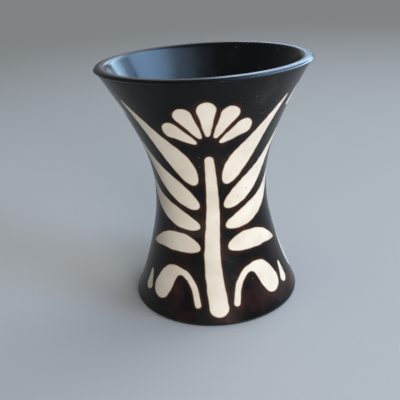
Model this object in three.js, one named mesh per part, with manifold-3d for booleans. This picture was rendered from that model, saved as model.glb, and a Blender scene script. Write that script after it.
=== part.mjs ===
// Miniature waisted vase of burnished, smoke-blackened earthenware.
// Eight flattened coils of clay stand on a floor slab as the wall and carry a lip coil. Dark slip
// lines the inside and coats the outside, and pale slip figures lie in windows of the outer coat.
// Millimetres, +Z up, origin at the centre of the foot. Front is towards -Y.

import * as THREE from 'three';
import { mergeVertices } from 'three/addons/utils/BufferGeometryUtils.js';
import Module from 'manifold-3d';

const wasm = await Module();
wasm.setup();

// Body sizes
const HEIGHT = 90;
const RIM_RADIUS = 38.5;
const WAIST_RADIUS = 21.1;
const FOOT_RADIUS = 32.3;
const WAIST_HEIGHT = 44;
const UPPER_BEND = 30; // the larger, the slower the wall leaves the waist
const LOWER_BEND = 37;
const FLOOR_THICKNESS = 5;
const CLAY_THICKNESS = 2.6;
const FOOT_ROUND = 1.1;
const LIP_HEIGHT = 3;
const LIP_WIDTH = 3.6;
const LIP_ROUND = 0.9;

// Slip coats
const COAT_THICKNESS = 0.4;
const COAT_GAP = 0.1; // bond line between clay and slip
const FIGURE_GAP = 0.3; // dark coat to pale figure, all round

// Decorated band
const FOOT_MARGIN = 4;
const RIM_MARGIN = 3;

// Pale brush strokes. A spine is a list of [turn in degrees, share of the band's height].
// Widths are half-widths in millimetres.
const STEM_TURN_SHARES = [[1, 0.03], [-2, 0.24], [1, 0.48], [0, 0.7]];
const STEM_FOOT_WIDTH = 3.6;
const STEM_TIP_WIDTH = 1.6;
const PETALS = 5;
const PETAL_SPREAD_ANGLE = 30; // degrees from one petal to the next
const BLOOM_SHARE = 0.755; // of the bloom's middle, straight above the stem
const PETAL_BASE_TURN_SHARE = [11, 0.07]; // of a petal's two ends, aside and up from the middle
const PETAL_TIP_TURN_SHARE = [28, 0.185];
const PETAL_BASE_WIDTH = 0.8;
const PETAL_TIP_WIDTH = 3.2;
const LEAF_TURN_SHARES = [
  [[15, 0.59], [23.5, 0.67], [38.5, 0.775], [57, 0.945]],
  [[14, 0.476], [31, 0.532], [54, 0.628], [77, 0.795]],
  [[14, 0.383], [34, 0.412], [60, 0.474], [83, 0.58]],
  [[14.5, 0.285], [30, 0.299], [50, 0.287], [69, 0.245]],
];
const LEAF_SWELLS = [3.6, 3.1, 2.8, 3]; // half-width gained by each pair, from the top pair down
const LEAF_BASE_WIDTH = 0.8;
const LEAF_TIP_WIDTH = 0.3;
const LEAF_FULLNESS = 0.85; // below 1 the leaf is widest before its middle
const LEFT_LEAF_LIFT_SHARE = 0.015; // by which a left leaf ends higher than its right twin
const BUD_TURN_SHARES = [[14, 0.04], [17.5, 0.115], [26.5, 0.17], [38.5, 0.16], [46.5, 0.08]];
const BUD_STALK_WIDTH = 1.2;
const BUD_TIP_WIDTH = 4.1;
const BUD_SWELL_SHARES = [0.5, 0.95]; // of its length, where the stalk starts and ends to swell
const SEED_FOOT_WIDTH = 2.1;
const SEED_TIP_WIDTH = 0.5;
const RIM_SEED_TURN_SHARES = [[68, 0.9], [69, 0.965]];
const FOOT_SEED_TURN_SHARES = [[62, 0.06], [63, 0.13]];
const UPPER_POD_SWELL = 3.4;
const MIDDLE_POD_SWELL = 2;
const LOWER_POD_SWELL = 3.2;
const SIDE_PODS = [
  { name: 'upper_pod', turnShares: [[90, 0.7], [90, 0.965]], swell: UPPER_POD_SWELL },
  { name: 'middle_pod', turnShares: [[90, 0.33], [90, 0.52]], swell: MIDDLE_POD_SWELL },
  { name: 'lower_pod', turnShares: [[90, 0.04], [90, 0.25]], swell: LOWER_POD_SWELL },
];
const SIDES = [{ name: 'front', turn: 0 }, { name: 'back', turn: 180 }];

// Facets
const SEGMENTS = 36;
const WALL_COILS = 8;
const COIL_RINGS = 1; // facets up each coil
const ROUND_STEPS = 3;
const LEAF_STEPS = 6;
const STEM_STEPS = 6;
const BUD_STEPS = 8;
const SHORT_STEPS = 1; // along a petal or a seed
const CAP_CHORD = 3; // length of a facet round a stroke's end
const CUTTER_REACH = 5; // of a figure's cutter, to each side of the skin

// Levels that several pieces share
const lipBase = HEIGHT - LIP_HEIGHT;
const bandLow = FOOT_MARGIN;
const bandHigh = lipBase - RIM_MARGIN;
const wallFacets = WALL_COILS * COIL_RINGS;
const wallRings = Array.from({ length: wallFacets + 1 }, (_, ring) =>
  FLOOR_THICKNESS + (lipBase - FLOOR_THICKNESS) * (ring / wallFacets));
const coatRings = [FOOT_ROUND, ...wallRings];

// One arm of the waisted profile: a hyperbola that is flat at the waist and reaches its end radius
function armAt(height) {
  const above = height >= WAIST_HEIGHT;
  const bend = above ? UPPER_BEND : LOWER_BEND;
  const length = above ? HEIGHT - WAIST_HEIGHT : WAIST_HEIGHT;
  const rise = Math.hypot(length, bend) - bend;
  const flare = ((above ? RIM_RADIUS : FOOT_RADIUS) - WAIST_RADIUS) / rise;
  return { away: height - WAIST_HEIGHT, bend, flare };
}

function outerRadius(height) {
  const { away, bend, flare } = armAt(height);
  return WAIST_RADIUS + flare * (Math.hypot(away, bend) - bend);
}

// Length along the wall for each millimetre of height
function wallStretch(height) {
  const { away, bend, flare } = armAt(height);
  return Math.hypot(1, (flare * away) / Math.hypot(away, bend));
}

const clayOuter = (height) => outerRadius(height) - COAT_THICKNESS - COAT_GAP;
const clayInner = (height) => clayOuter(height) - CLAY_THICKNESS;
const liningOuter = (height) => clayInner(height) - COAT_GAP;
const liningInner = (height) => liningOuter(height) - COAT_THICKNESS;

// A solid turned about Z from [radius, height] points that go up the outside and down the inside
function turned(profile) {
  const points = profile.map(([radius, height]) => new THREE.Vector2(radius, height));
  return new THREE.LatheGeometry(points, SEGMENTS).rotateX(Math.PI / 2);
}

const surface = (radiusAt, rings) => rings.map((height) => [radiusAt(height), height]);

function ring(outside, inside) {
  const loop = [...outside, ...inside.reverse()];
  return turned([...loop, loop[0]]);
}

// Quarter round between two directions given in degrees
function quarterRound(radius, height, round, from, to) {
  return Array.from({ length: ROUND_STEPS + 1 }, (_, step) => {
    const angle = THREE.MathUtils.degToRad(from + ((to - from) * step) / ROUND_STEPS);
    return [radius + round * Math.cos(angle), height + round * Math.sin(angle)];
  });
}

function floorSlab() {
  return turned([
    [0, 0],
    [FOOT_RADIUS - FOOT_ROUND, 0],
    [outerRadius(FOOT_ROUND), FOOT_ROUND],
    [clayOuter(FOOT_ROUND), FOOT_ROUND],
    [clayOuter(FLOOR_THICKNESS), FLOOR_THICKNESS],
    [0, FLOOR_THICKNESS],
  ]);
}

// Coil 0 stands on the floor slab, and each next one on the coil below
function wallCoil(coil) {
  const rings = wallRings.slice(coil * COIL_RINGS, (coil + 1) * COIL_RINGS + 1);
  return ring(surface(clayOuter, rings), surface(clayInner, rings));
}

function lipCoil() {
  const roundLevel = HEIGHT - LIP_ROUND;
  const outside = [
    [outerRadius(lipBase), lipBase],
    ...quarterRound(RIM_RADIUS - LIP_ROUND, roundLevel, LIP_ROUND, 0, 90),
  ];
  const inside = [
    [liningInner(lipBase), lipBase],
    ...quarterRound(RIM_RADIUS - LIP_WIDTH + LIP_ROUND, roundLevel, LIP_ROUND, 180, 90),
  ];
  return ring(outside, inside);
}

function innerSlip() {
  const under = FLOOR_THICKNESS + COAT_GAP;
  const upper = wallRings.slice(1);
  return turned([
    [0, under],
    [liningOuter(under), under],
    ...surface(liningOuter, upper),
    ...surface(liningInner, upper).reverse(),
    [liningInner(under + COAT_THICKNESS), under + COAT_THICKNESS],
    [0, under + COAT_THICKNESS],
  ]);
}

function outerSkin() {
  const inside = (height) => outerRadius(height) - COAT_THICKNESS;
  return ring(surface(outerRadius, coatRings), surface(inside, coatRings));
}

// Closed meshes as solids that can be cut, and back
function solidOf(geometry) {
  const bare = geometry.clone();
  bare.deleteAttribute('normal');
  bare.deleteAttribute('uv');
  const merged = mergeVertices(bare);
  return new wasm.Manifold(new wasm.Mesh({
    numProp: 3,
    vertProperties: new Float32Array(merged.attributes.position.array),
    triVerts: new Uint32Array(merged.index.array),
  }));
}

function geometryOf(solid) {
  const mesh = solid.getMesh();
  const geometry = new THREE.BufferGeometry();
  geometry.setAttribute('position', new THREE.BufferAttribute(mesh.vertProperties, 3));
  geometry.setIndex(new THREE.BufferAttribute(mesh.triVerts, 1));
  geometry.computeVertexNormals();
  return geometry;
}

// Brush strokes on the wall. A place is [turn in radians, height].
const shareHeight = (share) => bandLow + share * (bandHigh - bandLow);

function placeOnWall(turn, share) {
  return [THREE.MathUtils.degToRad(turn), shareHeight(share)];
}

function splineSpine(points) {
  const curve = new THREE.SplineCurve(points.map((point) => new THREE.Vector2(...point)));
  return (t) => {
    const point = curve.getPoint(t);
    return placeOnWall(point.x, point.y);
  };
}

// Hand 1 stands right of the stem, -1 left
const handedSpine = (turnShares, hand) =>
  splineSpine(turnShares.map(([turn, share]) => [hand * turn, share]));

// The petals spread like a fan, each a straight stroke away from the bloom's middle
function petalSpine(petal) {
  const bearing = THREE.MathUtils.degToRad(PETAL_SPREAD_ANGLE * (petal - (PETALS - 1) / 2));
  const ends = [PETAL_BASE_TURN_SHARE, PETAL_TIP_TURN_SHARE];
  return splineSpine(ends.map(([turn, share]) =>
    [turn * Math.sin(bearing), BLOOM_SHARE + share * Math.cos(bearing)]));
}

const taper = (start, end) => (t) => THREE.MathUtils.lerp(start, end, t);
const leafWidth = (swell) => (t) =>
  taper(LEAF_BASE_WIDTH, LEAF_TIP_WIDTH)(t) + swell * Math.sin(Math.PI * t ** LEAF_FULLNESS);
const budWidth = (t) =>
  taper(BUD_STALK_WIDTH, BUD_TIP_WIDTH)(THREE.MathUtils.smoothstep(t, ...BUD_SWELL_SHARES));

// All strokes of one side of the vase
function sideStrokes() {
  const strokes = [
    {
      name: 'stem',
      spine: splineSpine(STEM_TURN_SHARES),
      width: taper(STEM_FOOT_WIDTH, STEM_TIP_WIDTH),
      steps: STEM_STEPS,
    },
  ];
  for (let petal = 0; petal < PETALS; petal += 1) {
    strokes.push({
      name: `petal_${petal + 1}`,
      spine: petalSpine(petal),
      width: taper(PETAL_BASE_WIDTH, PETAL_TIP_WIDTH),
      steps: SHORT_STEPS,
    });
  }
  for (const [hand, handName] of [[1, 'right'], [-1, 'left']]) {
    LEAF_TURN_SHARES.forEach((turnShares, tier) => {
      const lift = hand < 0 ? LEFT_LEAF_LIFT_SHARE / (turnShares.length - 1) : 0;
      const lifted = turnShares.map(([turn, share], place) => [turn, share + lift * place]);
      strokes.push({
        name: `leaf_${tier + 1}_${handName}`,
        spine: handedSpine(lifted, hand),
        width: leafWidth(LEAF_SWELLS[tier]),
        steps: LEAF_STEPS,
      });
    });
    strokes.push({
      name: `bud_${handName}`,
      spine: handedSpine(BUD_TURN_SHARES, hand),
      width: budWidth,
      steps: BUD_STEPS,
    });
    const seeds = { rim_seed: RIM_SEED_TURN_SHARES, foot_seed: FOOT_SEED_TURN_SHARES };
    for (const [seedName, turnShares] of Object.entries(seeds)) {
      strokes.push({
        name: `${seedName}_${handName}`,
        spine: handedSpine(turnShares, hand),
        width: taper(SEED_FOOT_WIDTH, SEED_TIP_WIDTH),
        steps: SHORT_STEPS,
      });
    }
  }
  for (const { name, turnShares, swell } of SIDE_PODS) {
    strokes.push({ name, spine: splineSpine(turnShares), width: leafWidth(swell), steps: LEAF_STEPS });
  }
  return strokes;
}

// Outline of a stroke on the wall: both sides of its spine and a round cap at each end,
// each point set off from the spine in millimetres measured along the wall
function strokeOutline({ spine, width, steps }, grow, turn) {
  const left = [];
  const right = [];
  const caps = { start: [], end: [] };
  const halfStep = 0.5 / steps;
  for (let step = 0; step <= steps; step += 1) {
    const t = step / steps;
    const [angle, height] = spine(t);
    const radius = outerRadius(height);
    const stretch = wallStretch(height);
    const [angleBefore, heightBefore] = spine(Math.max(0, t - halfStep));
    const [angleAfter, heightAfter] = spine(Math.min(1, t + halfStep));
    const across = (angleAfter - angleBefore) * radius;
    const heading = Math.atan2((heightAfter - heightBefore) * stretch, across);
    const half = width(t) + grow;
    const offset = (bearing) => {
      const level = height + (half * Math.sin(heading + bearing)) / stretch;
      return [turn + angle + (half * Math.cos(heading + bearing)) / outerRadius(level), level];
    };
    left.push(offset(Math.PI / 2));
    right.push(offset(-Math.PI / 2));
    const capSteps = Math.max(2, Math.ceil((Math.PI * half) / CAP_CHORD));
    const fan = Array.from({ length: capSteps - 1 }, (_, k) => (Math.PI * (k + 1)) / capSteps);
    if (step === 0) caps.start = fan.map((k) => offset(Math.PI / 2 + k));
    if (step === steps) caps.end = fan.map((k) => offset(-Math.PI / 2 + k));
  }
  return [...right, ...caps.end, ...left.reverse(), ...caps.start];
}

// The cutter that an outline sweeps through the skin, straight along the radius at its middle
function cutterOf(outline) {
  const angles = outline.map(([angle]) => angle);
  const middle = (Math.min(...angles) + Math.max(...angles)) / 2;
  const shape = new THREE.Shape(outline.map(([angle, height]) => new THREE.Vector2(angle, height)));
  const geometry = new THREE.ExtrudeGeometry(shape, { depth: 1, steps: 1, bevelEnabled: false });
  const position = geometry.attributes.position;
  for (let i = 0; i < position.count; i += 1) {
    const angle = position.getX(i);
    const height = position.getY(i);
    const radius = outerRadius(height);
    const reach = THREE.MathUtils.lerp(-CUTTER_REACH, CUTTER_REACH, position.getZ(i));
    position.setXYZ(
      i,
      radius * Math.sin(angle) + reach * Math.sin(middle),
      -radius * Math.cos(angle) - reach * Math.cos(middle),
      height,
    );
  }
  return solidOf(geometry);
}

// Finishes
const finishes = {
  firedClay: { color: 0x5a3a2a, roughness: 0.85, metalness: 0 },
  darkSlip: { color: 0x1a1b1d, roughness: 0.3, metalness: 0 },
  paleSlip: { color: 0xddd2c0, roughness: 0.45, metalness: 0 },
};

const vase = new THREE.Group();

function addPiece(name, geometry, finish) {
  const mesh = new THREE.Mesh(geometry, new THREE.MeshStandardMaterial(finish));
  mesh.name = name;
  vase.add(mesh);
}

addPiece('floor_slab', floorSlab(), finishes.firedClay);
for (let coil = 0; coil < WALL_COILS; coil += 1) {
  addPiece(`wall_coil_${coil + 1}`, wallCoil(coil), finishes.firedClay);
}
addPiece('lip_coil', lipCoil(), finishes.darkSlip);
addPiece('inner_slip', innerSlip(), finishes.darkSlip);

const skin = solidOf(outerSkin());
let darkCoat = skin;
for (const side of SIDES) {
  const turn = THREE.MathUtils.degToRad(side.turn);
  for (const stroke of sideStrokes()) {
    const figure = skin.intersect(cutterOf(strokeOutline(stroke, 0, turn)));
    darkCoat = darkCoat.subtract(cutterOf(strokeOutline(stroke, FIGURE_GAP, turn)));
    addPiece(`${side.name}_${stroke.name}`, geometryOf(figure), finishes.paleSlip);
  }
}
addPiece('dark_slip', geometryOf(darkCoat), finishes.darkSlip);

export default vase;
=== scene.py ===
# %% [markdown]
# # A miniature waisted vase
# The vase is hand-built earthenware, narrow at the waist like an egg timer. The potter builds a wall of coils
# on a round slab, lays a last coil on top for the lip, coats everything with dark slip, rubs it to a shine
# with a stone and smokes it black. Cream slip figures keep their colour where the smoke is held off.
# This lesson builds each of those pieces as a surface worked out from formulas, then gives each its finish.
# First the measured model is loaded: it says where every piece is, and nothing here moves it.

# %% Load the measured model
import bpy
import numpy as np
from mathutils import Matrix, Vector


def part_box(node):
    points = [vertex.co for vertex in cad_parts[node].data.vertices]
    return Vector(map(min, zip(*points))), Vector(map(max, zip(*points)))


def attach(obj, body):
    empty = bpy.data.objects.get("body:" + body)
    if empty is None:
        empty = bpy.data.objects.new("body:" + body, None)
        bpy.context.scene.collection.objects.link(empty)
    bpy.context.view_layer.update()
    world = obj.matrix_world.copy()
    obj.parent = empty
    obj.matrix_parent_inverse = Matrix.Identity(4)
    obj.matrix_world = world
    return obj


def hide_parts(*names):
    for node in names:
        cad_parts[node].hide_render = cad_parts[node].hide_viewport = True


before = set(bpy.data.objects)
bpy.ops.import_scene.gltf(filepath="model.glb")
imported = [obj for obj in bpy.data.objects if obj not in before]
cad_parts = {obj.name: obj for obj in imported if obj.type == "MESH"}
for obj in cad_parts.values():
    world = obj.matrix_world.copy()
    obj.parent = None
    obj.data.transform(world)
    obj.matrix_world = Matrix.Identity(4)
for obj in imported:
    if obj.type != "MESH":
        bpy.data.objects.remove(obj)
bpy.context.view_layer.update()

# %% [markdown]
# ## Sizes
# Blender works in metres, but a potter thinks in millimetres, so every formula below is in millimetres and
# only the finished points are turned to metres. Levels and radii that the measured pieces show are read from
# their boxes. The rest are the same few driving sizes that the measured model was drawn from.

# %% Sizes in millimetres
MM = 0.001


def box_mm(node):
    """Lowest and highest corner of a measured piece, in millimetres."""
    low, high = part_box(node)
    return np.array(low) / MM, np.array(high) / MM


lip_low, lip_high = box_mm("lip_coil")
slab_high = box_mm("floor_slab")[1]
coat_low = box_mm("dark_slip")[0]
HEIGHT = lip_high[2]
RIM_RADIUS = lip_high[0]
LIP_BASE = lip_low[2]
FLOOR_TOP = slab_high[2]
FOOT_EDGE = coat_low[2]
WAIST_HEIGHT = 44.0
WAIST_RADIUS = 21.1
FOOT_RADIUS = 32.3
UPPER_BEND = 30.0
LOWER_BEND = 37.0
CLAY_THICKNESS = 2.6
COAT_THICKNESS = 0.4
COAT_GAP = 0.1
print(f"height {HEIGHT:.1f}, rim radius {RIM_RADIUS:.1f}, lip from {LIP_BASE:.1f}, floor top {FLOOR_TOP:.1f}")

# %% [markdown]
# ## The waisted profile
# Everything on this vase follows one curve, the outline of the wall. It could be drawn as a Bezier curve and
# spun, but a formula is easier to share between the wall, the coats and the painted strokes. A hyperbola is
# flat at the waist and runs out almost straight, which is just what the real wall does above and below.

# %% Outline of the wall
def outer_radius(height):
    """Radius of the outer surface: the waist radius plus sqrt(away^2 + bend^2) - bend, where away is the
    distance from the waist, scaled on each arm so that it ends at the rim or foot radius."""
    away = np.asarray(height, float) - WAIST_HEIGHT
    upper = away >= 0
    bend = np.where(upper, UPPER_BEND, LOWER_BEND)
    length = np.where(upper, HEIGHT - WAIST_HEIGHT, WAIST_HEIGHT)
    end = np.where(upper, RIM_RADIUS, FOOT_RADIUS)
    flare = np.hypot(away, bend) - bend
    full_flare = np.hypot(length, bend) - bend
    return WAIST_RADIUS + (end - WAIST_RADIUS) * flare / full_flare


# Depths under the outer surface, each a bond line or a layer further in.
CLAY_OUTER = COAT_THICKNESS + COAT_GAP
CLAY_INNER = CLAY_OUTER + CLAY_THICKNESS
LINING_OUTER = CLAY_INNER + COAT_GAP
LINING_INNER = LINING_OUTER + COAT_THICKNESS
# Heights on the wall, and the length of wall below each.
TABLE_POINTS = 1801
TABLE_HEIGHTS = np.linspace(0, HEIGHT, TABLE_POINTS)
TABLE_STEPS = np.hypot(np.diff(TABLE_HEIGHTS), np.diff(outer_radius(TABLE_HEIGHTS)))
TABLE_LENGTHS = np.concatenate([[0], np.cumsum(TABLE_STEPS)])


def wall_length(height):
    """Distance along the wall from the foot up to a height: the running sum of short straight steps."""
    return np.interp(height, TABLE_HEIGHTS, TABLE_LENGTHS)


print(f"waist radius {float(outer_radius(WAIST_HEIGHT)):.1f}, wall {float(wall_length(HEIGHT)):.1f} mm long")

# %% [markdown]
# ## A hand-built surface
# A lathe would make this body perfectly round. Hands don't: the wall sways by a few tenths of a millimetre.
# Slow waves round the axis, drifting with height, give that. They only take material off, so the vase stays
# inside its measured box, and every piece uses the same waves, so the layers still fit each other.

# %% Points on the vase
SWAY = 0.35
# Each wave: how many go round, its shift, the height in mm over which it drifts, and its share.
SWAY_WAVES = [(2, 0.9, 38.0, 0.5), (3, -1.1, -24.0, 0.3), (5, 2.0, 15.0, 0.2)]


def hand_sway(turn, height):
    """Change of radius in mm, from -SWAY to 0: a sum of sines of a few waves round the axis, each shifted
    with height over its own length."""
    waves = sum(share * np.sin(count * turn + shift + height / drift)
                for count, shift, drift, share in SWAY_WAVES)
    return SWAY * (waves - 1) / 2


def on_vase(turn, height, radius):
    """Points in metres from a turn about the axis, a height and a radius: turn 0 is the front, towards -Y,
    and turns to the right."""
    radius = radius + hand_sway(turn, height)
    return np.stack([radius * np.sin(turn), -radius * np.cos(turn), height + 0 * turn], axis=-1) * MM


print("sway at the rim, mm:", np.round(hand_sway(np.linspace(0, 2 * np.pi, 7), HEIGHT), 2))

# %% [markdown]
# ## From arrays to a mesh
# A Blender mesh is three flat lists: points, the corner numbers of all faces one after another, and where
# each face starts. Filling them with foreach_set keeps whole arrays whole. Faces are shaded smooth, and edges
# sharper than a limit are marked sharp, so that a thin coat keeps its crisp edge. Each point also carries two
# numbers that a finish can read: its distance in mm to the nearest edge between dark and pale, and the share
# of pale slip round about.

# %% Mesh maker
SHARP_DEGREES = 40
FAR_FROM_EDGE = 50.0


def put_piece(name, points, corners, counts, readings=None):
    """Makes one piece from points (n by 3), the corner numbers of its faces and the count for each face, and
    ties it to the measured piece of that name."""
    mesh = bpy.data.meshes.new(name)
    mesh.vertices.add(len(points))
    mesh.loops.add(len(corners))
    mesh.polygons.add(len(counts))
    mesh.vertices.foreach_set("co", points.astype(np.float32).ravel())
    mesh.loops.foreach_set("vertex_index", corners.astype(np.int32))
    starts = np.concatenate([[0], np.cumsum(counts)[:-1]])
    mesh.polygons.foreach_set("loop_start", starts.astype(np.int32))
    mesh.update(calc_edges=True)
    mesh.validate()
    mesh.shade_smooth()
    mesh.set_sharp_from_angle(angle=np.radians(SHARP_DEGREES))
    plain = {"edge_mm": np.full(len(points), FAR_FROM_EDGE), "pale_near": np.zeros(len(points))}
    for key, values in (readings or plain).items():
        attribute = mesh.attributes.new(key, "FLOAT", "POINT")
        attribute.data.foreach_set("value", values.astype(np.float32))
    piece = bpy.data.objects.new(f"{name}_finish", mesh)
    bpy.context.scene.collection.objects.link(piece)
    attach(piece, "root")
    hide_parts(name)
    return piece


print(f"edges of more than {SHARP_DEGREES} degrees stay sharp")

# %% [markdown]
# ## Turned pieces
# Slab, wall, lip and lining are rings or discs about the axis. Blender's Screw modifier could spin a profile,
# but carrying the profile round as an array lets the hand-built sway in. A profile goes up the outside and
# down the inside, so that the faces point outwards. Where it touches the axis, the ring of points there is
# one point, and the faces beside it are triangles.

# %% Carry a profile round the axis
TURN_STEPS = 256


def turned_piece(name, profile):
    """A piece of revolution: point (k, j) is profile point j turned by k steps of a full circle."""
    profile = np.asarray(profile, float)
    closed = profile[0, 0] > 0
    rows = len(profile)
    turn = np.linspace(0, 2 * np.pi, TURN_STEPS, endpoint=False)[:, None]
    points = on_vase(turn + 0 * profile[:, 1], profile[:, 1] + 0 * turn, profile[:, 0] + 0 * turn)
    if not closed:
        points[:, [0, -1], :2] = 0
    ids = np.arange(TURN_STEPS * rows).reshape(TURN_STEPS, rows)
    if closed:
        ids = np.concatenate([ids, ids[:, :1]], axis=1)
    else:
        ids[:, 0] = ids[0, 0]
        ids[:, -1] = ids[0, -1]
    following = np.roll(ids, -1, axis=0)
    faces = np.stack([ids[:, :-1], following[:, :-1], following[:, 1:], ids[:, 1:]], axis=-1).reshape(-1, 4)
    keep = faces != np.roll(faces, 1, axis=1)
    used, corners = np.unique(faces[keep], return_inverse=True)
    piece = put_piece(name, points.reshape(-1, 3)[used], corners, keep.sum(axis=1))
    print(f"{name}: {len(used)} points, {len(faces)} faces")
    return piece


print(f"a full turn is {TURN_STEPS} steps, {2 * np.pi * RIM_RADIUS / TURN_STEPS:.2f} mm each at the rim")

# %% [markdown]
# ### The floor slab
# The slab is the foot. Its underside is flat and was never polished, and its edge is rounded where fingers
# smoothed it. A Bevel modifier could round the edge of a disc, but a quarter of an ellipse in the profile
# ends just where the coat starts.

# %% Floor slab
UNDERSIDE_POINTS = 8
ROUND_POINTS = 12
SLAB_SIDE_POINTS = 6


def up_the_wall(depth, low, high, count):
    """Profile points at a depth under the outer surface, between two levels."""
    heights = np.linspace(low, high, count)
    return np.stack([outer_radius(heights) - depth, heights], axis=-1)


def floor_slab():
    """Profile across the underside, round the foot's edge, in under the coat and over the top."""
    edge_radius = float(outer_radius(FOOT_EDGE))
    flat_radius = FOOT_RADIUS - FOOT_EDGE
    swing = np.linspace(0, np.pi / 2, ROUND_POINTS)
    round_edge = np.stack([flat_radius + (edge_radius - flat_radius) * np.sin(swing),
                           FOOT_EDGE * (1 - np.cos(swing))], axis=-1)
    profile = np.concatenate([
        np.linspace((0, 0), (flat_radius, 0), UNDERSIDE_POINTS)[:-1],
        round_edge,
        up_the_wall(CLAY_OUTER, FOOT_EDGE, FLOOR_TOP, SLAB_SIDE_POINTS),
        [[0, FLOOR_TOP]],
    ])
    return turned_piece("floor_slab", profile)


slab_piece = floor_slab()

# %% [markdown]
# ### The wall coils
# Eight coils of clay, each pinched up to a thin band on the one below, are the wall. Nobody sees them under
# the coats, so one plain tube could stand in, but the coats are thin and have to lie on something true. Each
# band's levels come from its box, and its two faces from the wall's formula.

# %% Wall coils
WALL_COILS = 8
COIL_POINTS = 8


def wall_coil(name):
    """Profile up a coil's outer face and down its inner one."""
    low, high = box_mm(name)
    outside = up_the_wall(CLAY_OUTER, low[2], high[2], COIL_POINTS)
    inside = up_the_wall(CLAY_INNER, low[2], high[2], COIL_POINTS)[::-1]
    return turned_piece(name, np.concatenate([outside, inside]))


coil_pieces = [wall_coil(f"wall_coil_{number}") for number in range(1, WALL_COILS + 1)]

# %% [markdown]
# ### The lip
# A coil pressed on the wall's edge leaves a rounded top. Outside, a narrow face drops from it to a slanting
# shoulder where the burnished wall ends. Face and shoulder are the dark and the light line under the bright
# top. A smooth curve through a few chosen points draws them better than a bevel, because no two edges are
# alike.

# %% Lip
LIP_SHOULDER_DROP = 0.64
LIP_NECK_DROP = 0.75
LIP_FACE_IN = 0.5
LIP_INNER_DROP = 1.4
LIP_POINTS = 84
# In from the rim radius and down from the shoulder.
SHOULDER = [(0.12, 0.42), (0.05, 0.3), (0.14, 0.17)]
# Out from the face and up from the shoulder.
FACE_FOOT = [(0.12, -0.04), (0.02, 0.06)]
# In from the face and down from the top.
OUTER_CROWN = [(0.03, 0.38), (0.3, 0.17), (1.1, 0.06)]
# Out from the inner radius and down from the top.
INNER_CROWN = [(2.0, 0.02), (1.15, 0.2), (0.52, 0.68)]


def smooth_line(points, count):
    """Uniform Catmull-Rom curve through the points, with its two ends held: on each stretch a cubic whose
    slope at a point is half the step between that point's neighbours."""
    points = np.asarray(points, float)
    last = len(points) - 1
    place = np.linspace(0, last, count)
    index = np.minimum(place.astype(int), last - 1)
    t = (place - index)[:, None]
    before, here = points[np.maximum(index - 1, 0)], points[index]
    there, after = points[index + 1], points[np.minimum(index + 2, last)]
    leave, arrive = (there - before) / 2, (after - here) / 2
    return ((2 * here - 2 * there + leave + arrive) * t ** 3
            + (3 * there - 3 * here - 2 * leave - arrive) * t ** 2 + leave * t + here)


def lip_coil():
    """Profile up the outer wall, over the shoulder, up the face, over the rounded top and down inside."""
    shoulder = HEIGHT - LIP_SHOULDER_DROP
    neck = shoulder - LIP_NECK_DROP
    face = RIM_RADIUS - LIP_FACE_IN
    inner_top = HEIGHT - LIP_INNER_DROP
    inner_radius = float(outer_radius(inner_top)) - LINING_INNER
    outer_levels = [LIP_BASE, (LIP_BASE + neck) / 2, neck]
    inner_levels = [inner_top, (LIP_BASE + inner_top) / 2, LIP_BASE]
    chosen = [
        *[(outer_radius(level), level) for level in outer_levels],
        *[(RIM_RADIUS - inward, shoulder - drop) for inward, drop in SHOULDER],
        *[(face + outward, shoulder + rise) for outward, rise in FACE_FOOT],
        *[(face - inward, HEIGHT - drop) for inward, drop in OUTER_CROWN],
        *[(inner_radius + outward, HEIGHT - drop) for outward, drop in INNER_CROWN],
        *[(outer_radius(level) - LINING_INNER, level) for level in inner_levels],
    ]
    return turned_piece("lip_coil", smooth_line(chosen, LIP_POINTS))


lip_piece = lip_coil()

# %% [markdown]
# ### The lining
# Slip poured in and out again lines the wall and the floor as one cup. A Solidify modifier could thicken a
# single sheet, but it would leave a crease where wall and floor meet. Slip pools there, so the profile has a
# fillet in that corner.

# %% Lining
LINING_POINTS = 60
FLOOR_POINTS = 16
POOL_RADIUS = 4.0
# Out from the foot of the wall and up from the floor, as shares of the pool radius.
POOL_CORNER = [(0.2, 0.4), (-0.3, 0.05), (-1.5, 0.0)]
# The first points of the corner's line lie on the wall, which has its own.
POOL_POINTS, POOL_ON_WALL = 20, 6


def inner_slip():
    """Profile under the floor coat, up behind the lining, over its edge, down inside and across the floor."""
    under = FLOOR_TOP + COAT_GAP
    floor = under + COAT_THICKNESS
    outside = up_the_wall(LINING_OUTER, under, LIP_BASE, LINING_POINTS)
    inside = up_the_wall(LINING_INNER, floor + POOL_RADIUS, LIP_BASE, LINING_POINTS)[::-1]
    foot = inside[-1, 0]
    pooled = [(foot + outward * POOL_RADIUS, floor + rise * POOL_RADIUS) for outward, rise in POOL_CORNER]
    corner = smooth_line([inside[-2], inside[-1], *pooled], POOL_POINTS)[POOL_ON_WALL:]
    across = np.linspace(corner[-1], (0, floor), FLOOR_POINTS)[1:]
    profile = np.concatenate([[[0, under]], outside, inside, corner, across])
    return turned_piece("inner_slip", profile)


lining_piece = inner_slip()

# %% [markdown]
# ## Painted strokes
# Each pale figure is one stroke of a loaded brush: a spine on the wall and a half-width that changes along
# it. A painted image would blur close up, so the strokes are measured instead. A grid of points covers the
# wall, and for every point the distance to each spine is taken along the wall. Half-width minus distance is
# above zero inside the stroke, so one array holds both the shape and how far each point is from its edge.

# %% Grid over the wall
GRID_TURNS = 640
GRID_RISES = 232

grid_turn = np.linspace(-np.pi, np.pi, GRID_TURNS, endpoint=False)
grid_height = np.linspace(FOOT_EDGE, LIP_BASE, GRID_RISES + 1)
grid_radius = outer_radius(grid_height)[:, None]
grid_length = wall_length(grid_height)[:, None]
turn_step = grid_turn[1] - grid_turn[0]
height_step = grid_height[1] - grid_height[0]
print(f"grid cell about {turn_step * RIM_RADIUS:.2f} mm wide at the rim and {height_step:.2f} mm high")

# %% Field of a stroke
# A field is worked out this far beyond a stroke's edge, in mm.
REACH = 4.0


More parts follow.
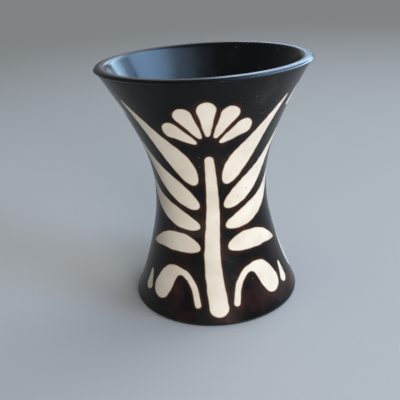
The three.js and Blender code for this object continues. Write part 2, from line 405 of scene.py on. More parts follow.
def stroke_field(turn, height, half_width):
    """Half-width minus distance along the wall to a spine, in mm, the largest over its short stretches. Near
    each stretch the wall is treated as flat: turn times the local radius across, wall length up."""
    length = wall_length(height)
    near = np.abs(grid_length - np.clip(grid_length, length.min(), length.max())) < half_width.max() + REACH
    rows = np.nonzero(near[:, 0])[0]
    radius, rise = grid_radius[rows], grid_length[rows]
    best = np.full((len(rows), GRID_TURNS), -REACH)
    for k in range(len(turn) - 1):
        across = radius * ((grid_turn - turn[k] + np.pi) % (2 * np.pi) - np.pi)
        up = rise - length[k]
        step_across, step_up = radius * (turn[k + 1] - turn[k]), length[k + 1] - length[k]
        along = np.clip((across * step_across + up * step_up) / (step_across ** 2 + step_up ** 2), 0, 1)
        width = half_width[k] + (half_width[k + 1] - half_width[k]) * along
        best = np.maximum(best, width - np.hypot(across - along * step_across, up - along * step_up))
    field = np.full((GRID_RISES + 1, GRID_TURNS), -REACH)
    field[rows] = best
    return field


print(f"fields reach {REACH} mm beyond a stroke")

# %% [markdown]
# ### A leafy stem
# The figures make a generic plant: a stem with four pairs of leaves, a bloom of five petals, a hanging bud on
# each side of the stem's foot, and seeds and seed pods between. A spine is a few points of turn in degrees
# and share of the painted band's height, and half-widths are in millimetres. Bezier curves could be drawn by
# hand on the wall, but short lists are easier to change.

# %% Spines and widths
FOOT_MARGIN = 4.0
RIM_MARGIN = 3.0
STEM = [(1, 0.03), (-2, 0.24), (1, 0.48), (0, 0.7)]
STEM_WIDTHS = (3.6, 1.6)
PETALS = 5
PETAL_SPREAD = 30
BLOOM_SHARE = 0.755
PETAL_ENDS = [(11, 0.07), (28, 0.185)]
PETAL_WIDTHS = (0.8, 3.2)
# Each leaf: its spine, and how far it swells between its ends.
LEAVES = [
    ([(15, 0.59), (23.5, 0.67), (38.5, 0.775), (57, 0.945)], 3.6),
    ([(14, 0.476), (31, 0.532), (54, 0.628), (77, 0.795)], 3.1),
    ([(14, 0.383), (34, 0.412), (60, 0.474), (83, 0.58)], 2.8),
    ([(14.5, 0.285), (30, 0.299), (50, 0.287), (69, 0.245)], 3.0),
]
LEAF_WIDTHS = (0.8, 0.3)
LEAF_FULLNESS = 0.85
LEFT_LEAF_LIFT = 0.015
BUD = [(14, 0.04), (17.5, 0.115), (26.5, 0.17), (38.5, 0.16), (46.5, 0.08)]
BUD_WIDTHS = (1.2, 4.1)
BUD_SWELL = (0.5, 0.95)
SEEDS = {"rim_seed": [(68, 0.9), (69, 0.965)], "foot_seed": [(62, 0.06), (63, 0.13)]}
SEED_WIDTHS = (2.1, 0.5)
PODS = {
    "upper_pod": ([(90, 0.7), (90, 0.965)], 3.4),
    "middle_pod": ([(90, 0.33), (90, 0.52)], 2.0),
    "lower_pod": ([(90, 0.04), (90, 0.25)], 3.2),
}
HANDS = {"right": 1, "left": -1}
print(f"{len(LEAVES)} leaves and {len(SEEDS)} seeds on each hand, {PETALS} petals, {len(PODS)} pods")

# %% Brush
SPINE_POINTS = 40
TRAVEL = np.linspace(0, 1, SPINE_POINTS)


def band_height(share):
    """Height on the wall of a share of the painted band."""
    low, high = FOOT_MARGIN, LIP_BASE - RIM_MARGIN
    return low + share * (high - low)


def brushed(points, half_width, hand=1):
    """Field of a stroke whose spine is a smooth line through points of turn in degrees and band share. Hand 1
    paints it right of the stem, and -1 turns it over to the left."""
    line = smooth_line(points, SPINE_POINTS)
    return stroke_field(np.radians(hand * line[:, 0]), band_height(line[:, 1]), half_width)


def taper(widths):
    """Half-width on a straight line from the first value to the second."""
    return widths[0] + (widths[1] - widths[0]) * TRAVEL


def leaf_width(swell):
    """A straight taper plus a half sine that swells the stroke between its ends."""
    return taper(LEAF_WIDTHS) + swell * np.sin(np.pi * TRAVEL ** LEAF_FULLNESS)


def bud_width():
    """A thin stalk that swells to a drop: smoothstep, 3 s^2 - 2 s^3, over the swelling share."""
    share = np.clip((TRAVEL - BUD_SWELL[0]) / (BUD_SWELL[1] - BUD_SWELL[0]), 0, 1)
    return BUD_WIDTHS[0] + (BUD_WIDTHS[1] - BUD_WIDTHS[0]) * share ** 2 * (3 - 2 * share)


print(f"painted band from {band_height(0):.1f} to {band_height(1):.1f} mm up the vase")

# %% Strokes of one side
def petal(number):
    """One of a fan of straight strokes that lead away from the bloom's middle."""
    bearing = np.radians(PETAL_SPREAD * (number - (PETALS + 1) / 2))
    points = [(turn * np.sin(bearing), BLOOM_SHARE + share * np.cos(bearing)) for turn, share in PETAL_ENDS]
    return brushed(points, taper(PETAL_WIDTHS))


def side_fields():
    """Fields of all strokes of the front, by name."""
    fields = {"stem": brushed(STEM, taper(STEM_WIDTHS))}
    for number in range(1, PETALS + 1):
        fields[f"petal_{number}"] = petal(number)
    for side, hand in HANDS.items():
        for tier, (points, swell) in enumerate(LEAVES, start=1):
            lift = LEFT_LEAF_LIFT / (len(points) - 1) if hand < 0 else 0
            lifted = [(turn, share + lift * place) for place, (turn, share) in enumerate(points)]
            fields[f"leaf_{tier}_{side}"] = brushed(lifted, leaf_width(swell), hand)
        fields[f"bud_{side}"] = brushed(BUD, bud_width(), hand)
        for name, points in SEEDS.items():
            fields[f"{name}_{side}"] = brushed(points, taper(SEED_WIDTHS), hand)
    for name, (points, swell) in PODS.items():
        fields[name] = brushed(points, leaf_width(swell))
    return fields


front_fields = side_fields()
print(len(front_fields), "strokes on one side")

# %% [markdown]
# ### A hand that is never quite steady
# A brush edge wanders by about a tenth of a millimetre. Adding slow waves to a field shifts its edge by that
# much. The back of the vase carries the same figures half a turn on, which is a roll of the array.

# %% Fields of both sides
WANDER = 0.12
WANDER_LENGTHS = (7.0, 4.3)
WANDER_SHARES = (0.7, 0.3)
WANDER_SHIFTS = (1.3, 0.4)


def hand_wander():
    """Shift of a painted edge in mm: a long wave across times one up the wall, and a short slanting wave."""
    across = grid_radius * grid_turn
    long_wave, short_wave = (2 * np.pi / length for length in WANDER_LENGTHS)
    across_shift, up_shift = WANDER_SHIFTS
    crossed = np.sin(long_wave * across + across_shift) * np.sin(long_wave * grid_length + up_shift)
    slanting = np.sin(short_wave * (across + grid_length))
    return WANDER * (WANDER_SHARES[0] * crossed + WANDER_SHARES[1] * slanting)


wander = hand_wander()
figure_fields = {}
for stroke_name, stroke in front_fields.items():
    front = stroke + wander
    figure_fields[f"front_{stroke_name}"] = front
    figure_fields[f"back_{stroke_name}"] = np.roll(front, GRID_TURNS // 2, axis=1)
pale_field = np.maximum.reduce(list(figure_fields.values()))
print(f"{len(figure_fields)} strokes cover {100 * (pale_field > 0).mean():.0f} % of the wall grid")

# %% Share of pale slip round about
NEAR_CELLS = 4


def share_near(mask, cells):
    """Share of the mask near each point: the mean over a square of cells, taken twice to soften it."""
    share = mask.astype(float)
    offsets = range(-cells, cells + 1)
    for axis in (0, 1, 0, 1):
        share = sum(np.roll(share, offset, axis=axis) for offset in offsets) / len(offsets)
    return share


pale_near = share_near(pale_field > 0, NEAR_CELLS)
print(f"most pale slip round a dark point: {100 * pale_near[pale_field < 0].max():.0f} %")

# %% [markdown]
# ## Cutting the skin along the strokes
# The dark coat has a window for each figure, and the figure fills it flush. A boolean for every window would
# be slow and ragged. Marching squares does it in arrays: in each grid cell, the corners inside the region and
# the points where the field crosses zero on the cell's sides, taken in order, are the corners of one face.
# Dark coat and pale figure read the same crossings, so their edges match exactly. Cells well inside a region
# are merged two by two to keep the mesh light.

# %% Cells that the strokes cut
def right_of(grid):
    """The grid moved by one column, so that each place holds its neighbour on the right."""
    return np.roll(grid, -1, axis=1)


def cut_cells(corner, inside):
    """The eight places round each cell, corners and crossings in turn, and which of them its face takes."""
    on_row, on_column = corner + corner.size, corner + 2 * corner.size
    row_cut, column_cut = inside != right_of(inside), inside[:-1] != inside[1:]
    places = np.stack([corner[:-1], on_row[:-1], right_of(corner)[:-1], right_of(on_column)[:-1],
                       right_of(corner)[1:], on_row[1:], corner[1:], on_column[:-1]], axis=-1)
    taken = np.stack([inside[:-1], row_cut[:-1], right_of(inside)[:-1], right_of(column_cut),
                      right_of(inside)[1:], row_cut[1:], inside[1:], column_cut], axis=-1)
    return places, taken


def merged_cells(corner, whole):
    """Which blocks of two by two whole cells are merged, the eight places round each block, and which of them
    its face takes: every corner, and the middle of a side whose neighbour isn't merged."""
    merged = whole[::2, ::2] & whole[1::2, ::2] & whole[::2, 1::2] & whole[1::2, 1::2]
    even, odd, between = corner[::2, ::2], corner[1::2, ::2], corner[::2, 1::2]
    places = np.stack([even[:-1], between[:-1], right_of(even)[:-1], right_of(odd),
                       right_of(even)[1:], between[1:], even[1:], odd], axis=-1)
    no_row = np.zeros((1, merged.shape[1]), bool)
    below, above = np.concatenate([no_row, merged[:-1]]), np.concatenate([merged[1:], no_row])
    left, always = np.roll(merged, 1, axis=1), np.ones_like(merged)
    taken = np.stack([always, ~below, always, ~right_of(merged), always, ~above, always, ~left], axis=-1)
    return merged, places, taken


def cell_faces(field):
    """Corner numbers and counts of the faces where the field is above zero, with points numbered by kind:
    grid corners first, then crossings along rows, then crossings up columns."""
    corner = np.arange(field.size).reshape(field.shape)
    places, taken = cut_cells(corner, field > 0)
    merged, big_places, big_taken = merged_cells(corner, taken[..., ::2].all(axis=-1))
    fine = ~np.repeat(np.repeat(merged, 2, axis=0), 2, axis=1) & taken.any(axis=-1)
    places = np.concatenate([places[fine], big_places[merged]])
    taken = np.concatenate([taken[fine], big_taken[merged]])
    return places[taken], taken.sum(axis=-1)


print(len(cell_faces(pale_field)[1]), "outer faces are pale")

# %% Patches of slip
LEAST_CROSSING = 0.05


def crossing(first, second):
    """Share of the way from first to second at which the field is zero, kept off the very ends."""
    change = np.where(first == second, 1, first - second)
    return np.clip(first / change, LEAST_CROSSING, 1 - LEAST_CROSSING)


def cell_points(field):
    """Turn, height, field value and share of pale slip nearby of every numbered point."""
    turn = grid_turn + 0 * grid_height[:, None]
    height = grid_height[:, None] + 0 * grid_turn
    along = crossing(field, right_of(field))
    up = crossing(field, np.concatenate([field[1:], field[-1:]]))
    turns = np.concatenate([turn, turn + along * turn_step, turn])
    heights = np.concatenate([height, height, height + up * height_step])
    values = np.concatenate([field, 0 * field, 0 * field])
    near = np.tile(pale_near, (3, 1))
    return turns.ravel(), heights.ravel(), values.ravel(), near.ravel()


def face_links(corners, counts):
    """For every corner, the corner that follows it round its face, and the one in its place when the face is
    turned over."""
    size = np.repeat(counts, counts)
    first = np.repeat(np.cumsum(counts) - counts, counts)
    place = np.arange(len(corners)) - first
    return corners[first + (place + 1) % size], corners[first + size - 1 - place]


def skin_patch(name, field):
    """A closed patch of slip: the faces on the outer surface, the same faces turned over one coat thickness
    further in, and a wall along every edge that only one outer face uses."""
    corners, counts = cell_faces(field)
    turns, heights, values, near = cell_points(field)
    used, corners = np.unique(corners, return_inverse=True)
    following, turned_over = face_links(corners, counts)
    total = len(used)
    open_edge = ~np.isin(corners * total + following, following * total + corners)
    start, end = corners[open_edge], following[open_edge]
    walls = np.stack([end, start, start + total, end + total], axis=-1)
    turn, height = turns[used], heights[used]
    radius = outer_radius(height)
    points = np.concatenate([on_vase(turn, height, radius), on_vase(turn, height, radius - COAT_THICKNESS)])
    all_corners = np.concatenate([corners, turned_over + total, walls.ravel()])
    all_counts = np.concatenate([counts, counts, np.full(len(walls), walls.shape[1])])
    readings = {"edge_mm": np.tile(np.abs(values[used]), 2), "pale_near": np.tile(near[used], 2)}
    return put_piece(name, points, all_corners, all_counts, readings)


print(f"a patch of slip is {COAT_THICKNESS} mm thick")

# %% [markdown]
# ### The dark coat and the pale figures
# The coat is where no stroke is. All figures could be one mesh, but each is its own piece, as it is its own
# lick of slip.

# %% Coat and figures
coat_piece = skin_patch("dark_slip", -pale_field)
figure_pieces = [skin_patch(name, field) for name, field in figure_fields.items()]
print(f"dark coat: {len(coat_piece.data.polygons)} faces, "
      f"figures: {sum(len(piece.data.polygons) for piece in figure_pieces)} faces")

# %% [markdown]
# ## Building finishes from nodes
# A finish is a small graph of nodes. One helper adds a node, sets its properties and fills its sockets with
# numbers or with links from other nodes. Colours are written as the sRGB hex codes a colour picker shows, and
# one function turns them to the linear values that the renderer works in. Pattern sizes are given in
# millimetres: a noise of scale 1/size has blobs of about that size.

# %% Helpers for finishes
def linear(code):
    """Linear colour of an sRGB hex code: each channel through the sRGB curve."""
    channel = np.array([int(code[k:k + 2], 16) / 255 for k in (1, 3, 5)])
    value = np.where(channel <= 0.04045, channel / 12.92, ((channel + 0.055) / 1.055) ** 2.4)
    return (*value.tolist(), 1.0)


def per_mm(size):
    """Scale of a texture whose features are about this many millimetres."""
    return 1 / (size * MM)


def add_node(tree, kind, sockets=None, stops=None, **settings):
    """Adds a node: kind is its Blender type without ShaderNode, settings are its properties, sockets its
    inputs by name or number, as values or links, and stops the places and hex colours of a colour ramp."""
    node = tree.nodes.new(f"ShaderNode{kind}")
    for key, value in settings.items():
        setattr(node, key, value)
    for key, value in (sockets or {}).items():
        if isinstance(value, bpy.types.NodeSocket):
            tree.links.new(value, node.inputs[key])
        else:
            node.inputs[key].default_value = value
    if stops:
        ramp = node.color_ramp
        while len(ramp.elements) < len(stops):
            ramp.elements.new(1.0)
        for element, (place, code) in zip(ramp.elements, stops):
            element.position = place
            element.color = linear(code)
    return node


def new_finish(name):
    """An empty material with its tree and object coordinates."""
    material = bpy.data.materials.new(name)
    material.use_nodes = True
    tree = material.node_tree
    tree.nodes.clear()
    return material, tree, add_node(tree, "TexCoord").outputs["Object"]


print(f"a picker's grey #808080 is {linear('#808080')[0]:.2f} in linear light")

# %% [markdown]
# ### Marks that both slips share
# A burnishing stone goes round and round the vase and leaves faint lines, and sand in the clay shows as a few
# small grains. An image could carry them, but noise and Voronoi cells need no file and show no seam. Real
# ones are a tenth or two of a millimetre, finer than a pixel, so both are drawn coarser here to show.

# %% Rub lines and grains
LINE_LENGTH_MM, LINE_HEIGHT_MM = 22.0, 0.8
GRAIN_CELL_MM, GRAIN_SHARE = (7.0, 7.0, 3.0), 0.05
# A Mix node's colour sockets go by number, because other sockets in it have the same names.
MIX_FACTOR, MIX_A, MIX_B, MIX_RESULT = 0, 6, 7, 2


def rub_lines(tree, place):
    """Strength of the rub lines: noise that is long sideways and short in height."""
    stretched = add_node(tree, "Mapping", {
        "Vector": place, "Scale": (per_mm(LINE_LENGTH_MM), per_mm(LINE_LENGTH_MM), per_mm(LINE_HEIGHT_MM))})
    lines = add_node(tree, "TexNoise", {"Vector": stretched.outputs["Vector"], "Scale": 1.0, "Detail": 3.0})
    return lines.outputs["Fac"]


def with_grains(tree, place, colour, grain_code):
    """The colour with grains of another one, wherever a Voronoi cell's own point is nearer than a share of
    the cell."""
    cells = add_node(tree, "Mapping", {"Vector": place, "Scale": [per_mm(size) for size in GRAIN_CELL_MM]})
    spots = add_node(tree, "TexVoronoi", {"Vector": cells.outputs["Vector"], "Scale": 1.0})
    grain = add_node(tree, "Math", {0: spots.outputs["Distance"], 1: GRAIN_SHARE}, operation="LESS_THAN")
    grained = add_node(tree, "Mix", {
        MIX_FACTOR: grain.outputs[0], MIX_A: colour, MIX_B: linear(grain_code)}, data_type="RGBA")
    return grained.outputs[MIX_RESULT]


print(f"rub lines {LINE_HEIGHT_MM} mm high, grains up to {2 * GRAIN_SHARE * GRAIN_CELL_MM[0]:.1f} mm wide")

# %% [markdown]
# ### Burnished smoked slip
# Fine clay slip rubbed with a stone and blackened in smoke. The rubbing leaves shallow dents and very faint
# lines, so its shine is uneven. The smoke leaves clouds of black and grey-black, red-brown patches on the
# lower wall, and brown beside and between the pale figures, where the resist let little smoke through. That
# brown could be painted on, but the mesh already carries each point's distance from a pale edge and the share
# of pale slip round about, so the finish reads those.

# %% Red-brown patches
PATCH_MM, PATCH_SEED = 16.0, 3.0
PATCH_START, PATCH_FULL, PATCH_STRENGTH = 0.47, 0.74, 0.9
PATCH_TOP_MM, PATCH_FULL_MM = 30.0, 8.0
PATCH_RED = "#452523"


def patch_share(tree, place):
    """Share of red-brown: patches of noise, times a rise from 0 at their top level to 1 near the foot."""
    noise = add_node(tree, "TexNoise", {
        "Vector": place, "W": PATCH_SEED, "Scale": per_mm(PATCH_MM), "Detail": 3.0}, noise_dimensions="4D")
    patch = add_node(tree, "MapRange", {
        "Value": noise.outputs["Fac"], "From Min": PATCH_START, "From Max": PATCH_FULL,
        "To Max": PATCH_STRENGTH})
    height = add_node(tree, "SeparateXYZ", {"Vector": place})
    low = add_node(tree, "MapRange", {
        "Value": height.outputs["Z"], "From Min": PATCH_TOP_MM * MM, "From Max": PATCH_FULL_MM * MM})
    share = add_node(tree, "Math", {0: low.outputs["Result"], 1: patch.outputs["Result"]},
                     operation="MULTIPLY")
    return share.outputs[0]


print(f"red-brown patches up to {PATCH_TOP_MM:.0f} mm above the foot")

# %% Brown beside the pale figures
# Most values of a noise lie between these.
NOISE_LOW, NOISE_HIGH = 0.3, 0.7
HALO_NOISE_MM = 9.0
HALO_LEAST_MM, HALO_MOST_MM = 0.375, 2.85
HALO_STRENGTH = 0.45
NARROW_START, NARROW_FULL, NARROW_STRENGTH = 0.3, 0.62, 0.9
HALO_BROWN = "#46220f"


def brown_share(tree, place):
    """Share of brown: the larger of a ragged halo that fades with distance from a pale edge, and a rise with
    the share of pale slip round about."""
    ragged = add_node(tree, "TexNoise", {"Vector": place, "Scale": per_mm(HALO_NOISE_MM), "Detail": 3.0})
    reach = add_node(tree, "MapRange", {
        "Value": ragged.outputs["Fac"], "From Min": NOISE_LOW, "From Max": NOISE_HIGH,
        "To Min": HALO_LEAST_MM, "To Max": HALO_MOST_MM})
    edge = add_node(tree, "Attribute", attribute_name="edge_mm")
    halo = add_node(tree, "MapRange", {
        "Value": edge.outputs["Fac"], "From Max": reach.outputs["Result"],
        "To Min": HALO_STRENGTH, "To Max": 0.0}, interpolation_type="SMOOTHSTEP")
    crowd = add_node(tree, "Attribute", attribute_name="pale_near")
    narrow = add_node(tree, "MapRange", {
        "Value": crowd.outputs["Fac"], "From Min": NARROW_START, "From Max": NARROW_FULL,
        "To Max": NARROW_STRENGTH})
    share = add_node(tree, "Math", {0: halo.outputs["Result"], 1: narrow.outputs["Result"]},
                     operation="MAXIMUM")
    return share.outputs[0]


print(f"brown halos {HALO_LEAST_MM} to {HALO_MOST_MM} mm wide")

# %% Dark slip
CLOUD_MM = 17.0
CLOUD_TONES = [(0.34, "#060708"), (0.5, "#0b0c0c"), (0.61, "#141312"), (0.72, "#2a2826")]
DARK_GRAIN = "#5a554e"
DENT_MM, DENT_DEPTH_MM = 8.0, 0.03
LINE_RELIEF = 0.08
SHARPEST, DULLEST = 0.17, 0.3
CLAY_IOR = 1.45
DARK_SPECULAR = 0.26


def burnished_smoked_slip():
    """Near-black slip with smoke clouds, red-brown patches, brown halos, grains and burnishing marks."""
    material, tree, place = new_finish("burnished_smoked_slip")
    clouds = add_node(tree, "TexNoise", {"Vector": place, "Scale": per_mm(CLOUD_MM), "Detail": 5.0})
    black = add_node(tree, "ValToRGB", {"Fac": clouds.outputs["Fac"]}, stops=CLOUD_TONES)
    patched = add_node(tree, "Mix", {
        MIX_FACTOR: patch_share(tree, place), MIX_A: black.outputs["Color"], MIX_B: linear(PATCH_RED)},
        data_type="RGBA")
    haloed = add_node(tree, "Mix", {
        MIX_FACTOR: brown_share(tree, place), MIX_A: patched.outputs[MIX_RESULT], MIX_B: linear(HALO_BROWN)},
        data_type="RGBA")
    colour = with_grains(tree, place, haloed.outputs[MIX_RESULT], DARK_GRAIN)

    dents = add_node(tree, "TexNoise", {"Vector": place, "Scale": per_mm(DENT_MM), "Detail": 2.0})
    relief = add_node(tree, "Math", {
        0: rub_lines(tree, place), 1: LINE_RELIEF, 2: dents.outputs["Fac"]}, operation="MULTIPLY_ADD")
    bump = add_node(tree, "Bump", {"Height": relief.outputs[0], "Distance": DENT_DEPTH_MM * MM})
    shine = add_node(tree, "MapRange", {
        "Value": clouds.outputs["Fac"], "From Min": NOISE_LOW, "From Max": NOISE_HIGH,
        "To Min": SHARPEST, "To Max": DULLEST})
    surface = add_node(tree, "BsdfPrincipled", {
        "Base Color": colour, "Roughness": shine.outputs["Result"], "IOR": CLAY_IOR,
        "Specular IOR Level": DARK_SPECULAR, "Normal": bump.outputs["Normal"]})
    add_node(tree, "OutputMaterial", {"Surface": surface.outputs["BSDF"]})
    return material


dark_finish = burnished_smoked_slip()
print(dark_finish.name, "has", len(dark_finish.node_tree.nodes), "nodes")

# %% [markdown]
# ### Burnished cream slip
# The resist kept the smoke off these strokes, so the slip shows its own warm cream. It is rubbed like the
# dark coat but is a little less glossy, with faint clouds where some smoke crept under and a thin tan edge.
# One flat colour would look like paper, so noise varies the cream, and the edge is read from the mesh.

# %% Pale slip
VEIL_MM = 9.0
CREAM_TONES = [(0.3, "#d5cab6"), (0.5, "#e0d6c5"), (0.72, "#e8dfd0")]
TAN_EDGE_MM, TAN_STRENGTH = 0.4, 0.6
TAN = "#8d6a45"
PALE_GRAIN = "#84735c"
PALE_LINE_DEPTH_MM = 0.009
PALE_SHARPEST, PALE_DULLEST = 0.36, 0.48


def burnished_cream_slip():
    """Warm cream satin slip with faint clouds, a thin tan edge and a few dark grains."""
    material, tree, place = new_finish("burnished_cream_slip")
    veil = add_node(tree, "TexNoise", {"Vector": place, "Scale": per_mm(VEIL_MM), "Detail": 5.0})
    cream = add_node(tree, "ValToRGB", {"Fac": veil.outputs["Fac"]}, stops=CREAM_TONES)
    edge = add_node(tree, "Attribute", attribute_name="edge_mm")
    rim = add_node(tree, "MapRange", {
        "Value": edge.outputs["Fac"], "From Max": TAN_EDGE_MM, "To Min": TAN_STRENGTH, "To Max": 0.0},
        interpolation_type="SMOOTHSTEP")
    edged = add_node(tree, "Mix", {
        MIX_FACTOR: rim.outputs["Result"], MIX_A: cream.outputs["Color"], MIX_B: linear(TAN)},
        data_type="RGBA")
    colour = with_grains(tree, place, edged.outputs[MIX_RESULT], PALE_GRAIN)

    lines = rub_lines(tree, place)
    bump = add_node(tree, "Bump", {"Height": lines, "Distance": PALE_LINE_DEPTH_MM * MM})
    shine = add_node(tree, "MapRange", {
        "Value": lines, "From Min": NOISE_LOW, "From Max": NOISE_HIGH,
        "To Min": PALE_SHARPEST, "To Max": PALE_DULLEST})
    surface = add_node(tree, "BsdfPrincipled", {
        "Base Color": colour, "Roughness": shine.outputs["Result"], "IOR": CLAY_IOR,
        "Normal": bump.outputs["Normal"]})
    add_node(tree, "OutputMaterial", {"Surface": surface.outputs["BSDF"]})
    return material


pale_finish = burnished_cream_slip()
print(pale_finish.name, "has", len(pale_finish.node_tree.nodes), "nodes")

# %% [markdown]
# ### Smoked bare clay
# Under the foot the clay was never slipped or rubbed. Smoke stained it a dull grey-brown, and only its outer
# edge, which shows below the coat, was burnished with the wall. Two materials would need the slab's faces
# sorted, so one finish tells the two apart by the distance from the axis. Real grit is finer than a pixel,
# so it is drawn coarser.

# %% Bare clay
GRIT_MM, GRIT_DEPTH_MM = 0.6, 0.03
STAIN_MM = 12.0
STAIN_TONES = [(0.3, "#241c18"), (0.55, "#3d2f27"), (0.75, "#55423a")]
EDGE_START_MM, EDGE_FULL_MM = 30.0, 31.0
EDGE_BLACK = "#121112"
CLAY_ROUGHNESS, EDGE_ROUGHNESS = 0.85, 0.34
SIDEWAYS = (1.0, 1.0, 0.0)


def smoked_bare_clay():
    """Matt grey-brown clay with grit, turning to burnished black at the foot's outer edge."""
    material, tree, place = new_finish("smoked_bare_clay")
    stain = add_node(tree, "TexNoise", {"Vector": place, "Scale": per_mm(STAIN_MM), "Detail": 4.0})
    clay = add_node(tree, "ValToRGB", {"Fac": stain.outputs["Fac"]}, stops=STAIN_TONES)
    flat = add_node(tree, "VectorMath", {0: place, 1: SIDEWAYS}, operation="MULTIPLY")
    distance = add_node(tree, "VectorMath", {0: flat.outputs["Vector"]}, operation="LENGTH")
    rim = add_node(tree, "MapRange", {
        "Value": distance.outputs["Value"], "From Min": EDGE_START_MM * MM, "From Max": EDGE_FULL_MM * MM})
    colour = add_node(tree, "Mix", {
        MIX_FACTOR: rim.outputs["Result"], MIX_A: clay.outputs["Color"], MIX_B: linear(EDGE_BLACK)},
        data_type="RGBA")
    dull = add_node(tree, "MapRange", {
        "Value": rim.outputs["Result"], "To Min": CLAY_ROUGHNESS, "To Max": EDGE_ROUGHNESS})
    grit = add_node(tree, "TexNoise", {"Vector": place, "Scale": per_mm(GRIT_MM), "Detail": 2.0})
    bump = add_node(tree, "Bump", {"Height": grit.outputs["Fac"], "Distance": GRIT_DEPTH_MM * MM})
    surface = add_node(tree, "BsdfPrincipled", {
        "Base Color": colour.outputs[MIX_RESULT], "Roughness": dull.outputs["Result"], "IOR": CLAY_IOR,
        "Normal": bump.outputs["Normal"]})
    add_node(tree, "OutputMaterial", {"Surface": surface.outputs["BSDF"]})
    return material


clay_finish = smoked_bare_clay()
print(clay_finish.name, "has", len(clay_finish.node_tree.nodes), "nodes")

# %% [markdown]
# ## Dressing the pieces
# Lip, lining and outer coat share one dark finish. Each could have its own, but a finish that follows places
# on the object runs on from one piece to the next without a seam.

# %% Give each piece its finish
dressed = [(dark_finish, [lip_piece, coat_piece, lining_piece]),
           (pale_finish, figure_pieces),
           (clay_finish, [slab_piece, *coil_pieces])]
for finish, pieces in dressed:
    for piece in pieces:
        piece.data.materials.append(finish)
    print(finish.name, "on", len(pieces), "pieces")

# %% [markdown]
# ## Stage and light
# The vase stands on a plain pale floor that fades into an even grey backdrop, so no edge of it shows from any
# side. A panorama of a real room could light the vase, but flat panels can be aimed and changed one by one.
# Black gloss mirrors every lamp, so the work is split: soft lamps light the scene without being mirrored, and
# other panels are only mirrored. Those are a grey wall behind, a bluish sky round the right with a dim frame
# in it, and the room in front.

# %% Floor
FLOOR_HALF_MM = 4000.0
FLOOR_TONE = "#d4d6d8"
FADE_START_MM, FADE_END_MM = 200.0, 900.0
BACKDROP = "#808487"


def background_rays(tree):
    """1 on rays that show the background: from the camera, off a gloss or through glass."""
    rays = add_node(tree, "LightPath").outputs
    bent = add_node(tree, "Math", {0: rays["Is Glossy Ray"], 1: rays["Is Transmission Ray"]},
                    operation="ADD")
    seen = add_node(tree, "Math", {0: rays["Is Camera Ray"], 1: bent.outputs[0]}, operation="ADD")
    return seen.outputs[0]


def plain_floor():
    """One square at table height, which fades with distance from the vase to the backdrop's grey."""
    reach = FLOOR_HALF_MM * MM
    mesh = bpy.data.meshes.new("floor")
    mesh.from_pydata([(-reach, -reach, 0), (reach, -reach, 0), (reach, reach, 0), (-reach, reach, 0)], [],
                     [(0, 1, 2, 3)])
    floor = bpy.data.objects.new("floor", mesh)
    bpy.context.scene.collection.objects.link(floor)
    material, tree, place = new_finish("plain_pale_floor")
    near = add_node(tree, "BsdfDiffuse", {"Color": linear(FLOOR_TONE)})
    far = add_node(tree, "Emission", {"Color": linear(BACKDROP)})
    distance = add_node(tree, "VectorMath", {0: place}, operation="LENGTH")
    fade = add_node(tree, "MapRange", {
        "Value": distance.outputs["Value"], "From Min": FADE_START_MM * MM, "From Max": FADE_END_MM * MM},
        interpolation_type="SMOOTHSTEP")
    share = add_node(tree, "Math", {0: background_rays(tree), 1: fade.outputs["Result"]},
                     operation="MULTIPLY")
    surface = add_node(tree, "MixShader", {
        0: share.outputs[0], 1: near.outputs["BSDF"], 2: far.outputs["Emission"]})
    add_node(tree, "OutputMaterial", {"Surface": surface.outputs["Shader"]})
    mesh.materials.append(material)


plain_floor()
print(f"floor fades to the backdrop from {FADE_START_MM:.0f} to {FADE_END_MM:.0f} mm away")

# %% Lights
VASE_MIDDLE_MM = 50.0
PANEL_SPREAD_DEGREES = 100
# Each panel: its name, bearing and rise in degrees, distance in mm, width and height in mm, watts, colour.
LAMPS = [
    ("daylight_right", 114, 22, 800, (360, 360), 0.9, "#c4dcff"),
    ("daylight_behind", 50, 21, 1255, (2300, 800), 6.5, "#dde8f2"),
    ("ceiling", 0, 89, 1450, (1500, 1500), 1.8, "#ffffff"),
    ("front_fill", 161, 6, 985, (450, 190), 2.2, "#fffaf4"),
]
MIRRORED_PANELS = [
    ("grey_wall", -4, 20, 1200, (320, 600), 0.09, "#e6e4e6"),
    ("sky_behind", 18, 25, 1200, (620, 480), 1.4, "#c2ddfc"),
    ("sky_above", 32, 50, 1200, (900, 560), 1.6, "#c2ddfc"),
    ("sky_side", 37, 22, 1200, (385, 760), 2.35, "#b6dfff"),
    ("sky_frame", 54, 30, 1150, (245, 700), 0.8, "#a2ceff"),
    ("sky_right", 90, 42, 1100, (950, 760), 11.5, "#a2ceff"),
    ("sky_front", 138, 45, 1000, (660, 430), 0.95, "#b1d4ff"),
    ("sky_last", 165, 48, 1000, (660, 430), 0.2, "#b1d4ff"),
    ("room_front", 178, 12, 1500, (2000, 500), 0.6, "#f4efe9"),
]


def put_panel(name, bearing, rise, distance, size_mm, watts, code, mirrored):
    """An area light aimed at the vase's middle. Bearing 0 is behind the vase and 90 to its right, and rise is
    the angle above level. A mirrored panel only shows in the gloss, and any other only lights the scene."""
    light = bpy.data.lights.new(name, "AREA")
    light.shape = "RECTANGLE"
    light.size, light.size_y = np.array(size_mm) * MM
    light.energy = watts
    light.spread = np.radians(PANEL_SPREAD_DEGREES)
    light.color = linear(code)[:3]
    lamp = bpy.data.objects.new(name, light)
    turn, tilt = np.radians([bearing, rise])
    away = Vector((np.sin(turn) * np.cos(tilt), np.cos(turn) * np.cos(tilt), np.sin(tilt)))
    lamp.location = (away * distance + Vector((0, 0, VASE_MIDDLE_MM))) * MM
    lamp.rotation_euler = (-away).to_track_quat("-Z", "Y").to_euler()
    lamp.visible_glossy = mirrored
    lamp.visible_diffuse = not mirrored
    bpy.context.scene.collection.objects.link(lamp)


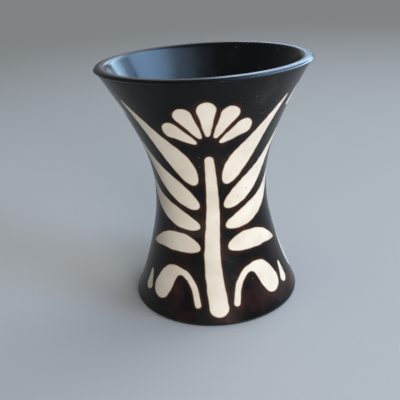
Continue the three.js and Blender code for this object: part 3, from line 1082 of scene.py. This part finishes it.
for lamp_values in LAMPS:
    put_panel(*lamp_values, mirrored=False)
for panel_values in MIRRORED_PANELS:
    put_panel(*panel_values, mirrored=True)
print(len(LAMPS), "lamps and", len(MIRRORED_PANELS), "mirrored panels")

# %% Surroundings
DIM_TONE, DIM_STRENGTH = "#eef6f6", 0.1


def soft_surroundings():
    """An even dim light all round, which shows as the backdrop's grey."""
    world = bpy.data.worlds.new("surroundings")
    bpy.context.scene.world = world
    world.use_nodes = True
    tree = world.node_tree
    tree.nodes.clear()
    dim = add_node(tree, "Background", {"Color": linear(DIM_TONE), "Strength": DIM_STRENGTH})
    backdrop = add_node(tree, "Background", {"Color": linear(BACKDROP)})
    sky = add_node(tree, "MixShader", {
        0: background_rays(tree), 1: dim.outputs["Background"], 2: backdrop.outputs["Background"]})
    add_node(tree, "OutputWorld", {"Surface": sky.outputs["Shader"]})


soft_surroundings()
print("world:", bpy.context.scene.world.name)

# %% [markdown]
# ### Camera
# The camera stands where the photographer did, a little above the rim and tilted down, with a slight lean. A
# Track To constraint could aim it at the vase, but not lean it, so its three axes are worked out from three
# angles.

# %% Camera
CAMERA_MM = (0.0, -215.2, 125.5)
CAMERA_YAW, CAMERA_PITCH, CAMERA_ROLL = np.radians([-1.17, 22.53, -3.87])
CAMERA_LENS = 54.7


def photo_camera():
    """Forward from yaw and pitch, right and up square to it, both turned by the roll."""
    forward = np.array([np.sin(CAMERA_YAW) * np.cos(CAMERA_PITCH), np.cos(CAMERA_YAW) * np.cos(CAMERA_PITCH),
                        -np.sin(CAMERA_PITCH)])
    right = np.cross(forward, (0, 0, 1))
    right /= np.linalg.norm(right)
    up = np.cross(right, forward)
    cosine, sine = np.cos(CAMERA_ROLL), np.sin(CAMERA_ROLL)
    axes = np.stack([cosine * right + sine * up, cosine * up - sine * right, -forward], axis=-1)
    lens = bpy.data.cameras.new("photo_camera")
    lens.lens = CAMERA_LENS
    camera = bpy.data.objects.new("photo_camera", lens)
    placed = np.eye(4)
    placed[:3, :3] = axes
    placed[:3, 3] = np.array(CAMERA_MM) * MM
    camera.matrix_world = Matrix(placed.tolist())
    bpy.context.scene.collection.objects.link(camera)
    bpy.context.scene.camera = camera


photo_camera()
bpy.context.scene.view_settings.view_transform = "Standard"
print(f"camera {CAMERA_MM[2] - HEIGHT:.1f} mm above the rim, lens {CAMERA_LENS} mm")
